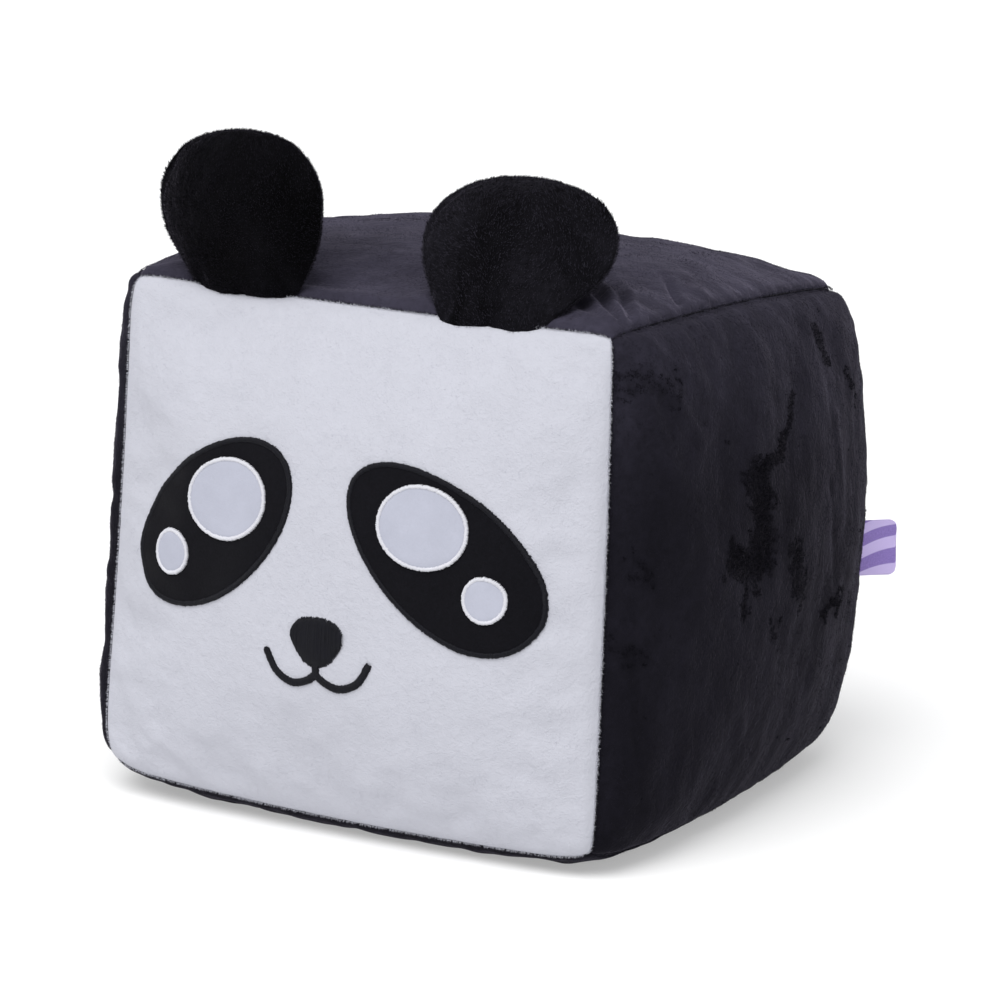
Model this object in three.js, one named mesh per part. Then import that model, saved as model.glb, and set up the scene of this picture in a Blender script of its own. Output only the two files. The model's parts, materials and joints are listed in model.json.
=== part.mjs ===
// A cube-shaped plush panda: six sewn panels round a loose stuffing, two stuffed ears that fold
// on the seam at the top of the face, an appliqued and embroidered face, and a woven label.
// Millimetres, +Z up. The face looks along -Y, and left and right are as seen from the front.
// The origin is the middle of the flat patch of the bottom panel that the toy sits on.
import * as THREE from 'three';
import { mergeVertices } from 'three/addons/utils/BufferGeometryUtils.js';

// Driving dimensions.
const WIDTH = 250; // from the left seams to the right seams
const DEPTH = 248; // from the seams round the face to the seams round the back
const HEIGHT = 237; // from the bottom seams to the top seams
const SEAM_LIFT = 7; // height of the bottom seams above the floor
const CROWN = { face: 32, back: 28, left: 28, right: 26, top: 18, bottom: 22 }; // panel bulges

// How far each sewn corner moves off the plain box when the toy is stuffed: x, y, z. The letters
// are F or B for front or back, L or R for left or right, and T or B for top or bottom.
const CORNER_SHIFT = {
  FLT: [-1, 5, 4], FRT: [2, 0, 0], FLB: [-8, -7, 6], FRB: [5, -9, 2],
  BLT: [-4, -2, 0], BRT: [3, -2, -7], BLB: [0, 0, 0], BRB: [0, 5, 3],
};
// How far the middle of each seam bows outwards from its two panels. Below 0 it bows inwards.
const SEAM_BOW = { FT: -3, FB: 4, FL: -2, FR: 3, BT: 2, BB: 5, BL: 6, BR: 11, LT: 5, LB: 1, RT: 6, RB: 6 };

const CLOTH = 2; // thickness of the plush cloth, pile pressed down
const CLEARANCE = 0.3; // gap kept between neighbouring pieces
const STUFFING_DEPTH = 4.4; // from the outside of a panel down to the body's stuffing
const THREAD_RADIUS = 0.5;

const EAR_HEIGHT = 73;
const EAR_BASE = 54; // width where the ear is sewn in
const EAR_WIDTH = 93; // at the widest
const EAR_THICKNESS = 34;
const EAR_FOOT_TAPER = 1.1; // how the ear thins towards its foot: 1 is a wedge, 2 is round
const EAR_TOP_TAPER = 2.2; // and towards its top
const EAR_CLOTH_SHARE = 0.07; // cloth thickness as a share of the ear's own radius
const EAR_STUFFING_SHARE = 0.88;
const EAR_LIFT = 1.8; // gap between the ear's foot and the seam that it folds on

const FELT = 1; // thickness of the applique felt
const STITCH_WIDTH = 2.6; // width of a satin-stitch border
const STITCH_HEIGHT = 1.4;
const LINE_WIDTH = 3.2; // width of the embroidered mouth line

const LABEL = { reach: 25, height: 28, thickness: 1.2, corner: 5, middle: 104.5 };
const LABEL_GAP = 1.6; // from the bowed seam to the label's straight edge

// Each ear: where its foot is along the seam, and how far it turns outwards (yaw), leans back
// and leans sideways, in degrees.
const EARS = {
  left: { x: -63, yaw: -6, back: 0, side: -5 },
  right: { x: 64, yaw: 6, back: 36, side: 1 },
};

// The right eye, in millimetres across and up from the middle of the face. The left eye is
// its mirror image. The angles tilt the long axis, in degrees.
const EYE = {
  patch: { x: 60.5, z: 16.7, long: 53.5, short: 31.5, tilt: -38 },
  large: { x: 51.5, z: 29, long: 22.3, short: 18.7, tilt: -8 },
  small: { x: 82.7, z: 0.2, long: 10.7, short: 10.2, tilt: -70 },
};
const MIDLINE = 1.7; // the nose and the mouth are sewn a little to the right of the middle
const NOSE = { z: -27, width: 27, height: 22 };
const PHILTRUM = { top: -39.8, bottom: -43 };
const MOUTH = { reach: 27.3, corner: -34.5, low: -48.4, lowAt: 12.5 };

const PANEL_STEPS = 8; // grid cells along each side of a body panel
const PATCH_RINGS = 3;
const DISC_RINGS = 2;
const PATCH_SIDES = 24;
const DISC_SIDES = 16;
const THREAD_SIDES = 6;

const HALF = { x: WIDTH / 2, y: DEPTH / 2, z: HEIGHT / 2 };
const MIDDLE = new THREE.Vector3(0, 0, SEAM_LIFT + HALF.z);

const cloth = (color, roughness) => new THREE.MeshStandardMaterial({ color, roughness, metalness: 0 });
const BLACK_PLUSH = cloth(0x1d1b22, 0.9);
const WHITE_PLUSH = cloth(0xdcdee6, 0.95);
const BLACK_FELT = cloth(0x17161b, 0.85);
const WHITE_FELT = cloth(0xe4e6ee, 0.85);
const BLACK_THREAD = cloth(0x121118, 0.5);
const WHITE_THREAD = cloth(0xeeeef4, 0.5);
const PURPLE_RIBBON = cloth(0x7a62b0, 0.6);
const FIBREFILL = cloth(0xf2f2f0, 1);

// ---- solids from grids of points ----

function meshFrom(name, points, faces, material) {
  const geometry = new THREE.BufferGeometry();
  geometry.setAttribute('position', new THREE.Float32BufferAttribute(points.flatMap((p) => p.toArray()), 3));
  geometry.setIndex(faces.flat());
  const merged = mergeVertices(geometry, 1e-3);
  merged.computeVertexNormals();
  const mesh = new THREE.Mesh(merged, material);
  mesh.name = name;
  return mesh;
}

// A closed solid between an outer and an inner grid of points, both rows x columns.
function slab(name, rows, columns, outer, inner, material) {
  const points = [...outer, ...inner];
  const faces = [];
  const at = (layer, i, j) => layer * rows * columns + i * columns + j;
  const quad = (a, b, c, d) => faces.push([a, b, c], [a, c, d]);
  for (let i = 0; i < rows - 1; i++) {
    for (let j = 0; j < columns - 1; j++) {
      quad(at(0, i, j), at(0, i + 1, j), at(0, i + 1, j + 1), at(0, i, j + 1));
      quad(at(1, i, j), at(1, i, j + 1), at(1, i + 1, j + 1), at(1, i + 1, j));
    }
  }
  const wall = (i, j, m, n) => quad(at(0, i, j), at(0, m, n), at(1, m, n), at(1, i, j));
  for (let i = 0; i < rows - 1; i++) {
    wall(i + 1, 0, i, 0);
    wall(i, columns - 1, i + 1, columns - 1);
  }
  for (let j = 0; j < columns - 1; j++) {
    wall(0, j, 0, j + 1);
    wall(rows - 1, j + 1, rows - 1, j);
  }
  return meshFrom(name, points, faces, material);
}

// Points of a disc, ring by ring from its middle, from place(share of the radius, index round it).
function discPoints(rings, sides, place) {
  const points = [place(0, 0)];
  for (let r = 1; r <= rings; r++) {
    for (let k = 0; k < sides; k++) points.push(place(r / rings, k));
  }
  return points;
}

function discFaces(rings, sides, first, flipped) {
  const faces = [];
  const at = (r, k) => first + (r === 0 ? 0 : 1 + (r - 1) * sides + (k % sides));
  const add = (a, b, c) => faces.push(flipped ? [a, c, b] : [a, b, c]);
  for (let k = 0; k < sides; k++) {
    add(at(0, 0), at(1, k), at(1, k + 1));
    for (let r = 1; r < rings; r++) {
      add(at(r, k), at(r + 1, k), at(r + 1, k + 1));
      add(at(r, k), at(r + 1, k + 1), at(r, k + 1));
    }
  }
  return faces;
}

// A closed solid between two discs whose last rings face each other.
function discSlab(name, rings, sides, upper, lower, material) {
  const count = 1 + rings * sides;
  const points = [...discPoints(rings, sides, upper), ...discPoints(rings, sides, lower)];
  const faces = [...discFaces(rings, sides, 0, false), ...discFaces(rings, sides, count, true)];
  const rim = count - sides;
  for (let k = 0; k < sides; k++) {
    const next = (k + 1) % sides;
    faces.push([rim + k, count + rim + k, count + rim + next], [rim + k, count + rim + next, rim + next]);
  }
  return meshFrom(name, points, faces, material);
}

// A closed solid swept through sections, each a list of points; loop joins the last to the first.
function sweep(name, sections, loop, material) {
  const sides = sections[0].length;
  const faces = [];
  const last = loop ? sections.length : sections.length - 1;
  for (let i = 0; i < last; i++) {
    const a = i * sides;
    const b = ((i + 1) % sections.length) * sides;
    for (let k = 0; k < sides; k++) {
      const n = (k + 1) % sides;
      faces.push([a + k, a + n, b + n], [a + k, b + n, b + k]);
    }
  }
  if (!loop) {
    const end = (sections.length - 1) * sides;
    for (let k = 1; k < sides - 1; k++) faces.push([0, k + 1, k], [end, end + k, end + k + 1]);
  }
  return meshFrom(name, sections.flat(), faces, material);
}

// ---- the body ----

const vector = (x, y, z) => new THREE.Vector3(x, y, z);
const FACES = {
  face: { s: vector(1, 0, 0), t: vector(0, 0, 1), n: vector(0, -1, 0) },
  back: { s: vector(-1, 0, 0), t: vector(0, 0, 1), n: vector(0, 1, 0) },
  left: { s: vector(0, -1, 0), t: vector(0, 0, 1), n: vector(-1, 0, 0) },
  right: { s: vector(0, 1, 0), t: vector(0, 0, 1), n: vector(1, 0, 0) },
  top: { s: vector(1, 0, 0), t: vector(0, 1, 0), n: vector(0, 0, 1) },
  bottom: { s: vector(1, 0, 0), t: vector(0, -1, 0), n: vector(0, 0, -1) },
};
const halfAlong = (axis) => Math.abs(axis.x) * HALF.x + Math.abs(axis.y) * HALF.y + Math.abs(axis.z) * HALF.z;

// How far a crowned panel stands out at s, t, each from -1 to 1 across the panel.
const crown = (side, s, t) => CROWN[side] * (1 - s * s) * (1 - t * t);

// The axis and direction that each letter of a corner's or a seam's name stands for.
const UPRIGHT_SIDE = { F: ['y', -1], B: ['y', 1], L: ['x', -1], R: ['x', 1] };
const LEVEL_SIDE = { T: ['z', 1], B: ['z', -1] };

// 1 on the named side of the box, falling to 0 on the opposite side.
const towards = (unit, [axis, sign]) => (1 + sign * unit[axis]) / 2;

// How the moved corners and the bowed seams carry a point of the box, its sides at -1 and 1.
function seamShift(unit) {
  const moved = vector(0, 0, 0);
  for (const [corner, shift] of Object.entries(CORNER_SHIFT)) {
    const [depth, side, level] = corner;
    const sides = [UPRIGHT_SIDE[depth], UPRIGHT_SIDE[side], LEVEL_SIDE[level]];
    const share = sides.reduce((product, each) => product * towards(unit, each), 1);
    moved.addScaledVector(vector(...shift), share);
  }
  for (const [seam, bow] of Object.entries(SEAM_BOW)) {
    const first = UPRIGHT_SIDE[seam[0]];
    const second = LEVEL_SIDE[seam[1]] ?? UPRIGHT_SIDE[seam[1]];
    const along = ['x', 'y', 'z'].find((axis) => axis !== first[0] && axis !== second[0]);
    const share = towards(unit, first) * towards(unit, second) * (1 - unit[along] ** 2);
    const reach = (share * bow) / Math.SQRT2;
    moved[first[0]] += first[1] * reach;
    moved[second[0]] += second[1] * reach;
  }
  return moved;
}

// A point of the toy's outside, shrunk towards the body's middle by share.
function skinPoint(side, s, t, share = 1) {
  const { s: across, t: up, n: out } = FACES[side];
  const unit = out.clone().addScaledVector(across, s).addScaledVector(up, t);
  const point = vector(HALF.x, HALF.y, HALF.z)
    .multiply(unit)
    .addScaledVector(out, crown(side, s, t))
    .add(seamShift(unit));
  point.z = Math.max(point.z, -MIDDLE.z); // the bottom panel lies flat on the floor
  return point.multiplyScalar(share).add(MIDDLE);
}

const shareAt = (depth) => 1 - depth / HALF.x;

// Grid steps from -1 to 1, closer together near the seams.
const gridSteps = (limit) =>
  Array.from({ length: PANEL_STEPS + 1 }, (_, i) => {
    const even = (2 * i) / PANEL_STEPS - 1;
    return limit * Math.sin((Math.PI / 2) * even);
  });

function skinGrid(side, limit, share) {
  const steps = gridSteps(limit);
  return steps.flatMap((s) => steps.map((t) => skinPoint(side, s, t, share)));
}

function bodyPanel(name, side, material) {
  const limit = 1 - CLEARANCE / HALF.x;
  const outer = skinGrid(side, limit, 1);
  const inner = skinGrid(side, limit, shareAt(CLOTH));
  return slab(name, PANEL_STEPS + 1, PANEL_STEPS + 1, outer, inner, material);
}

function stuffingCore() {
  const points = [];
  const faces = [];
  const columns = PANEL_STEPS + 1;
  for (const side of Object.keys(FACES)) {
    const first = points.length;
    points.push(...skinGrid(side, 1, shareAt(STUFFING_DEPTH)));
    for (let i = 0; i < PANEL_STEPS; i++) {
      for (let j = 0; j < PANEL_STEPS; j++) {
        const a = first + i * columns + j;
        faces.push([a, a + columns, a + columns + 1], [a, a + columns + 1, a + 1]);
      }
    }
  }
  return meshFrom('stuffing_core', points, faces, FIBREFILL);
}

// A sewing thread along the inside of a seam, through points that lie on the seam lines.
function seamThread(name, route, loop) {
  const share = shareAt((CLOTH + STUFFING_DEPTH) / 2);
  const centres = route.map(([side, s, t]) => skinPoint(side, s, t, share));
  const count = centres.length;
  const sections = centres.map((centre, i) => {
    const before = centres[loop ? (i + count - 1) % count : Math.max(i - 1, 0)];
    const after = centres[loop ? (i + 1) % count : Math.min(i + 1, count - 1)];
    const along = after.clone().sub(before).normalize();
    const outward = centre.clone().sub(MIDDLE);
    outward.addScaledVector(along, -outward.dot(along)).normalize();
    const sideways = along.clone().cross(outward);
    return Array.from({ length: THREAD_SIDES }, (_, k) => {
      const angle = (2 * Math.PI * k) / THREAD_SIDES;
      return centre
        .clone()
        .addScaledVector(outward, THREAD_RADIUS * Math.cos(angle))
        .addScaledVector(sideways, THREAD_RADIUS * Math.sin(angle));
    });
  });
  return sweep(name, sections, loop, BLACK_THREAD);
}

function ringRoute(side) {
  const steps = gridSteps(1).slice(0, -1);
  return [
    ...steps.map((a) => [side, a, -1]),
    ...steps.map((a) => [side, 1, a]),
    ...steps.map((a) => [side, -a, 1]),
    ...steps.map((a) => [side, -1, -a]),
  ];
}

const depthRoute = (side, s) => gridSteps(0.97).map((a) => [side, s, a]);

// ---- the face ----

// A point over the crowned face panel, across and up from its middle, lifted off the cloth.
function facePoint(x, z, lift) {
  let s = x / HALF.x;
  let t = z / HALF.z;
  let point = skinPoint('face', s, t);
  for (let i = 0; i < 4; i++) {
    s += (x - point.x) / HALF.x;
    t += (MIDDLE.z + z - point.z) / HALF.z;
    point = skinPoint('face', s, t);
  }
  return vector(x, point.y - lift, MIDDLE.z + z);
}

// A point of an ellipse at share of its radius, less an inset from its edge.
function ellipsePoint(shape, share, angle, inset) {
  const tilt = THREE.MathUtils.degToRad(shape.tilt);
  const along = share * (shape.long - inset) * Math.cos(angle);
  const across = share * (shape.short - inset) * Math.sin(angle);
  const x = shape.x + along * Math.cos(tilt) - across * Math.sin(tilt);
  const z = shape.z + along * Math.sin(tilt) + across * Math.cos(tilt);
  return [x, z];
}

// A flat piece of felt on the face, from lift to lift + thickness off the cloth.
function feltPiece(name, shape, rings, sides, mirror, lift, material) {
  const inset = STITCH_WIDTH + CLEARANCE;
  const place = (height) => (share, k) => {
    const [x, z] = ellipsePoint(shape, share, (mirror * 2 * Math.PI * k) / sides, inset);
    return facePoint(mirror * x, z, height);
  };
  return discSlab(name, rings, sides, place(lift + FELT), place(lift), material);
}

// The satin-stitch band round a piece of felt.
function stitchBorder(name, shape, sides, mirror, lift, material) {
  const sections = Array.from({ length: sides }, (_, k) => {
    const angle = (mirror * 2 * Math.PI * k) / sides;
    const corner = (inset, height) => {
      const [x, z] = ellipsePoint(shape, 1, angle, inset);
      return facePoint(mirror * x, z, height);
    };
    return [
      corner(STITCH_WIDTH, lift),
      corner(STITCH_WIDTH, lift + STITCH_HEIGHT),
      corner(0, lift + STITCH_HEIGHT),
      corner(0, lift),
    ];
  });
  return sweep(name, sections, true, material);
}

function eye(side, mirror) {
  const onCloth = CLEARANCE;
  const onFelt = onCloth + FELT + CLEARANCE;
  const name = (piece) => `${side}_eye_${piece}`;
  return [
    feltPiece(name('patch'), EYE.patch, PATCH_RINGS, PATCH_SIDES, mirror, onCloth, BLACK_FELT),
    stitchBorder(name('patch_border'), EYE.patch, PATCH_SIDES, mirror, onCloth, BLACK_THREAD),
    feltPiece(name('large_highlight'), EYE.large, DISC_RINGS, DISC_SIDES, mirror, onFelt, WHITE_FELT),
    stitchBorder(name('large_highlight_border'), EYE.large, DISC_SIDES, mirror, onFelt, WHITE_THREAD),
    feltPiece(name('small_highlight'), EYE.small, 1, DISC_SIDES, mirror, onFelt, WHITE_FELT),
    stitchBorder(name('small_highlight_border'), EYE.small, DISC_SIDES, mirror, onFelt, WHITE_THREAD),
  ];
}

// The nose is a triangle with round corners: a circle drawn in at three places.
function nose() {
  const place = (height) => (share, k) => {
    const angle = (2 * Math.PI * k) / DISC_SIDES;
    const radius = share * (1 + 0.08 * Math.sin(3 * angle));
    const x = MIDLINE + (NOSE.width / 2) * radius * Math.cos(angle);
    const z = NOSE.z + (NOSE.height / 2) * radius * Math.sin(angle);
    return facePoint(x, z, height);
  };
  const top = CLEARANCE + STITCH_HEIGHT;
  return discSlab('nose_embroidery', DISC_RINGS, DISC_SIDES, place(top), place(CLEARANCE), BLACK_THREAD);
}

// An embroidered line over the face along a list of points, across from the midline and up.
function stitchLine(name, line) {
  const sections = line.map(([x, z], i) => {
    const [x0, z0] = line[Math.max(i - 1, 0)];
    const [x1, z1] = line[Math.min(i + 1, line.length - 1)];
    const length = Math.hypot(x1 - x0, z1 - z0);
    const acrossX = (-(z1 - z0) / length) * (LINE_WIDTH / 2);
    const acrossZ = ((x1 - x0) / length) * (LINE_WIDTH / 2);
    const corner = (sign, height) =>
      facePoint(MIDLINE + x + sign * acrossX, z + sign * acrossZ, height);
    const top = CLEARANCE + STITCH_HEIGHT;
    return [corner(1, CLEARANCE), corner(1, top), corner(-1, top), corner(-1, CLEARANCE)];
  });
  return sweep(name, sections, false, BLACK_THREAD);
}

// Two hanging arcs that meet under the philtrum.
function mouthLine() {
  const start = PHILTRUM.bottom - LINE_WIDTH / 2 - CLEARANCE;
  const half = new THREE.CatmullRomCurve3([
    vector(0, 0, start),
    vector(MOUTH.lowAt, 0, MOUTH.low),
    vector(MOUTH.reach * 0.85, 0, (MOUTH.low + 2 * MOUTH.corner) / 3 - LINE_WIDTH),
    vector(MOUTH.reach, 0, MOUTH.corner),
  ]);
  const right = half.getPoints(8).map((p) => [p.x, p.z]);
  const left = right.slice(1).reverse().map(([x, z]) => [-x, z]);
  return [...left, ...right];
}

// ---- the ears ----

// The ear's outline, standing on its foot, anticlockwise from the foot's right end.
function earOutline() {
  const foot = EAR_BASE / 2;
  const side = EAR_WIDTH / 2;
  const shape = new THREE.Shape();
  shape.moveTo(foot, 0);
  shape.bezierCurveTo(foot + 10, 7, side + 1, 24, side, 42);
  shape.bezierCurveTo(side - 1, 61, 24, EAR_HEIGHT, 0, EAR_HEIGHT);
  shape.bezierCurveTo(-24, EAR_HEIGHT, 1 - side, 61, -side, 42);
  shape.bezierCurveTo(-side - 1, 24, -foot - 10, 7, -foot, 0);
  const outline = shape.getPoints(5);
  const footPoints = [1, 2, 3].map((k) => new THREE.Vector2(-foot + (k * EAR_BASE) / 4, 0));
  return [...outline, ...footPoints];
}

const EAR_OUTLINE = earOutline();
const EAR_SIDES = EAR_OUTLINE.length;
const EAR_RINGS = 4;
const EAR_MIDDLE = new THREE.Vector2(0, EAR_HEIGHT / 2);

// A point of an ear's front (facing -1) or back (facing +1), before the ear is turned and leant.
function earPoint(share, k, facing, scale) {
  const edge = EAR_OUTLINE[k % EAR_SIDES];
  const flat = EAR_MIDDLE.clone().lerp(edge, share * scale);
  const taper = THREE.MathUtils.lerp(EAR_FOOT_TAPER, EAR_TOP_TAPER, edge.y / EAR_HEIGHT);
  const swell = (EAR_THICKNESS / 2) * scale * (1 - Math.pow(share, taper));
  return vector(flat.x, facing * (CLEARANCE / 2 + swell), flat.y);
}

// Turns and leans the ear, all but its foot, which stays on the seam.
function poseEar(point, pose) {
  const rise = THREE.MathUtils.smoothstep(point.z, 0, EAR_HEIGHT / 2);
  const yaw = THREE.MathUtils.degToRad(pose.yaw * rise);
  const lean = THREE.MathUtils.degToRad(pose.back);
  const roll = THREE.MathUtils.degToRad(pose.side * rise);
  point.applyAxisAngle(vector(0, 1, 0), roll);
  point.applyAxisAngle(vector(0, 0, 1), yaw);
  point.applyAxisAngle(vector(1, 0, 0), -lean);
  return point.add(skinPoint('face', pose.x / HALF.x, 1)).add(vector(0, 0, EAR_LIFT));
}

function earPanel(name, pose, facing) {
  const scale = 1 - EAR_CLOTH_SHARE;
  const outer = (share, k) => poseEar(earPoint(share, k, facing, 1), pose);
  const inner = (share, k) => poseEar(earPoint(share, k, facing, scale), pose);
  const upper = facing < 0 ? outer : inner;
  const lower = facing < 0 ? inner : outer;
  return discSlab(name, EAR_RINGS, EAR_SIDES, upper, lower, BLACK_PLUSH);
}

function earStuffing(name, pose) {
  const front = (share, k) => poseEar(earPoint(share, k, -1, EAR_STUFFING_SHARE), pose);
  const back = (share, k) => poseEar(earPoint(share, k, 1, EAR_STUFFING_SHARE), pose);
  return discSlab(name, EAR_RINGS, EAR_SIDES, front, back, FIBREFILL);
}

function ear(side) {
  const pose = EARS[side];
  return [
    earPanel(`${side}_ear_front_panel`, pose, -1),
    earPanel(`${side}_ear_back_panel`, pose, 1),
    earStuffing(`${side}_ear_stuffing`, pose),
  ];
}

// ---- the woven label ----

function wovenLabel() {
  const { reach, height, thickness, corner, middle } = LABEL;
  const shape = new THREE.Shape();
  shape.moveTo(0, -height / 2);
  shape.lineTo(reach - corner, -height / 2);
  shape.absarc(reach - corner, corner - height / 2, corner, -Math.PI / 2, 0);
  shape.absarc(reach - corner, height / 2 - corner, corner, 0, Math.PI / 2);
  shape.lineTo(0, height / 2);
  const settings = { depth: thickness, bevelEnabled: false, curveSegments: 4 };
  const geometry = new THREE.ExtrudeGeometry(shape, settings);
  geometry.translate(0, 0, -thickness / 2);
  geometry.rotateX(Math.PI / 2);
  const mesh = new THREE.Mesh(geometry, PURPLE_RIBBON);
  mesh.name = 'woven_label';
  const root = skinPoint('right', 1, (middle - MIDDLE.z) / HALF.z);
  mesh.position.copy(root).addScaledVector(vector(1, 1, 0).normalize(), LABEL_GAP);
  mesh.rotation.z = Math.PI / 4;
  return mesh;
}

// ---- the whole toy ----

const panda = new THREE.Group();
panda.add(
  stuffingCore(),
  bodyPanel('face_panel', 'face', WHITE_PLUSH),
  bodyPanel('back_panel', 'back', BLACK_PLUSH),
  bodyPanel('left_panel', 'left', BLACK_PLUSH),
  bodyPanel('right_panel', 'right', BLACK_PLUSH),
  bodyPanel('top_panel', 'top', BLACK_PLUSH),
  bodyPanel('bottom_panel', 'bottom', BLACK_PLUSH),
  seamThread('face_seam_thread', ringRoute('face'), true),
  seamThread('back_seam_thread', ringRoute('back'), true),
  seamThread('top_left_seam_thread', depthRoute('top', -1), false),
  seamThread('top_right_seam_thread', depthRoute('top', 1), false),
  seamThread('bottom_left_seam_thread', depthRoute('bottom', -1), false),
  seamThread('bottom_right_seam_thread', depthRoute('bottom', 1), false),
  ...eye('left', -1),
  ...eye('right', 1),
  nose(),
  stitchLine('philtrum_embroidery', [[0, PHILTRUM.top], [0, PHILTRUM.bottom]]),
  stitchLine('mouth_embroidery', mouthLine()),
  ...ear('left'),
  ...ear('right'),
  wovenLabel(),
);

export default panda;
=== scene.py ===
"""A cube-shaped plush panda: its looks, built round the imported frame.

Metres, +Z up, the face looks along -Y. Left and right are as seen from the front.
"""
import json
import math

import bpy
import numpy as np
from mathutils import Matrix, Vector
from mathutils.bvhtree import BVHTree


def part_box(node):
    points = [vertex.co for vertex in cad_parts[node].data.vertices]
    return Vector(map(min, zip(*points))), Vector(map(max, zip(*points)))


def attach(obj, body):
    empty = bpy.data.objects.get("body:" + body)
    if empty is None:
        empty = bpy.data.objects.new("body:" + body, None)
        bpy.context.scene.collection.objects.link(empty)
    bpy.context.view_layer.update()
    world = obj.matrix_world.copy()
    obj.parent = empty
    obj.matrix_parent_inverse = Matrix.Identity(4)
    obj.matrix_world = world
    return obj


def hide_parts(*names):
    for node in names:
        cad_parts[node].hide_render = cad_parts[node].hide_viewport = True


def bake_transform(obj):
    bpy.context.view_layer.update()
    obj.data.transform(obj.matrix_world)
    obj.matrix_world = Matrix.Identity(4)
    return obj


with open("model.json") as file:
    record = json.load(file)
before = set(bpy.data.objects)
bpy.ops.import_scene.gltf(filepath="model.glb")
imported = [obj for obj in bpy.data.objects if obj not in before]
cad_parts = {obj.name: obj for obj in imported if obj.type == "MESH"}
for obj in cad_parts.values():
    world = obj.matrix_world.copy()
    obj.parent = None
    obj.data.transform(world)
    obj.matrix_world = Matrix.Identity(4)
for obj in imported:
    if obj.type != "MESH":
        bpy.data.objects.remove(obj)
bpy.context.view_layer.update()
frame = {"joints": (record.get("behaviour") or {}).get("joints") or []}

MM = 0.001

# ---- sizes that come from the frame ----

JOINTS = {j["name"]: Vector(j["pos_m"]) for j in frame["joints"]}
HALF = np.array([125, 124, 118.5]) * MM  # the plain box that the six panels are cut for
HALF_X, HALF_Y, HALF_Z = HALF
SEAM_LIFT = 7 * MM  # height of the bottom seams above the floor
MIDDLE_Z = SEAM_LIFT + HALF_Z

# ---- the stuffed body's shape, in millimetres off the CAD model's straight seams ----

# Where each corner has moved to: F or B for front or back, L or R, and T or B for top or bottom.
CORNER_SHIFT = {
    "FLT": (-1, 5, 4), "FRT": (2, 0, 0), "FLB": (-8, -7, 6), "FRB": (5, -9, 2),
    "BLT": (-4, -2, 0), "BRT": (3, -2, -7), "BLB": (0, 0, 0), "BRB": (0, 5, 3),
}
# How far the middle of each seam bows outwards. The first letter is F, B, L or R.
SEAM_BOW = {
    "FT": -3, "FB": 4, "FL": -2, "FR": 3, "BT": 2, "BB": 5, "BL": 6, "BR": 11,
    "LT": 5, "LB": 1, "RT": 6, "RB": 6,
}
# How far each panel swells: a broad dome, and a fuller pillow with steep edges.
SWELL = {
    "face": (24, 8), "back": (16, 14), "left": (17, 14), "right": (12, 14),
    "top": (9.5, 8), "bottom": (18, 6.5),
}
# How far the cloth is drawn in at each corner, along each axis. Its reach is twice that.
CORNER_ROUND = {
    "FLT": 3, "FRT": 2.5, "FLB": 5, "FRB": 3.5, "BLT": 4, "BRT": 4, "BLB": 4, "BRB": 4,
}
CLOTH = 1.5 * MM  # thickness of the plush cloth under its pile
GRID = 44  # cells along each side of a panel

# Directions across, up and out of each side, as it is looked at.
SIDES = {
    "face": np.array([(1, 0, 0), (0, 0, 1), (0, -1, 0)], float),
    "back": np.array([(-1, 0, 0), (0, 0, 1), (0, 1, 0)], float),
    "left": np.array([(0, -1, 0), (0, 0, 1), (-1, 0, 0)], float),
    "right": np.array([(0, 1, 0), (0, 0, 1), (1, 0, 0)], float),
    "top": np.array([(1, 0, 0), (0, 1, 0), (0, 0, 1)], float),
    "bottom": np.array([(1, 0, 0), (0, -1, 0), (0, 0, -1)], float),
}
LETTER_AXIS = {"F": (1, -1), "B": (1, 1), "L": (0, -1), "R": (0, 1)}


def share_towards(unit, axis, sign):
    """1 on the side of the cube that faces sign along axis, falling to 0 on the opposite side."""
    return (1 + sign * unit[:, axis]) / 2


def corner_signs(name):
    """Which way a corner of the cube lies along x, y and z, from its three letters."""
    return np.array([-1 if name[1] == "L" else 1, -1 if name[0] == "F" else 1, 1 if name[2] == "T" else -1])


def seam_shift(unit):
    """How the corners' and the seams' own shifts move points of the cube from -1 to 1."""
    moved = np.zeros_like(unit)
    for name, shift in CORNER_SHIFT.items():
        x_sign, y_sign, z_sign = corner_signs(name)
        share = share_towards(unit, 1, y_sign) * share_towards(unit, 0, x_sign)
        share = share * share_towards(unit, 2, z_sign)
        moved += share[:, None] * np.array(shift, float)
    for name, bow in SEAM_BOW.items():
        first = LETTER_AXIS[name[0]]
        second = LETTER_AXIS[name[1]] if name[1] in "LR" else (2, 1 if name[1] == "T" else -1)
        along = 3 - first[0] - second[0]
        share = share_towards(unit, *first) * share_towards(unit, *second) * (1 - unit[:, along] ** 2)
        outward = np.zeros(3)
        outward[first[0]], outward[second[0]] = first[1], second[1]
        moved += (share * bow)[:, None] * outward / math.sqrt(2)
    for name, depth in CORNER_ROUND.items():
        corner = corner_signs(name)
        away = (np.abs(unit - corner) * HALF / MM).sum(1)
        moved -= depth * np.exp(-away / (2 * depth))[:, None] * corner
    return moved * MM


def skin_points(side, s, t):
    """Points of the stuffed cube's outside, at s and t from -1 to 1 across one side."""
    across, up, out = SIDES[side]
    unit = s[:, None] * across + t[:, None] * up + out
    dome, pillow = SWELL[side]
    swell = dome * (1 - s**2) * (1 - t**2) + pillow * np.sqrt(np.clip((1 - s**8) * (1 - t**8), 0, 1))
    points = unit * HALF + (swell * MM)[:, None] * out + seam_shift(unit)
    points[:, 2] += MIDDLE_Z
    return unit, points


def square_grid(steps):
    """s and t of a square grid's points, as two flat arrays."""
    return [a.ravel() for a in np.meshgrid(steps, steps, indexing="ij")]


def panel_grid():
    """s and t of a panel's points from -1 to 1, somewhat closer together near the seams."""
    even = np.linspace(-1, 1, GRID + 1)
    return square_grid(0.5 * even + 0.5 * np.sin(even * math.pi / 2))


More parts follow.
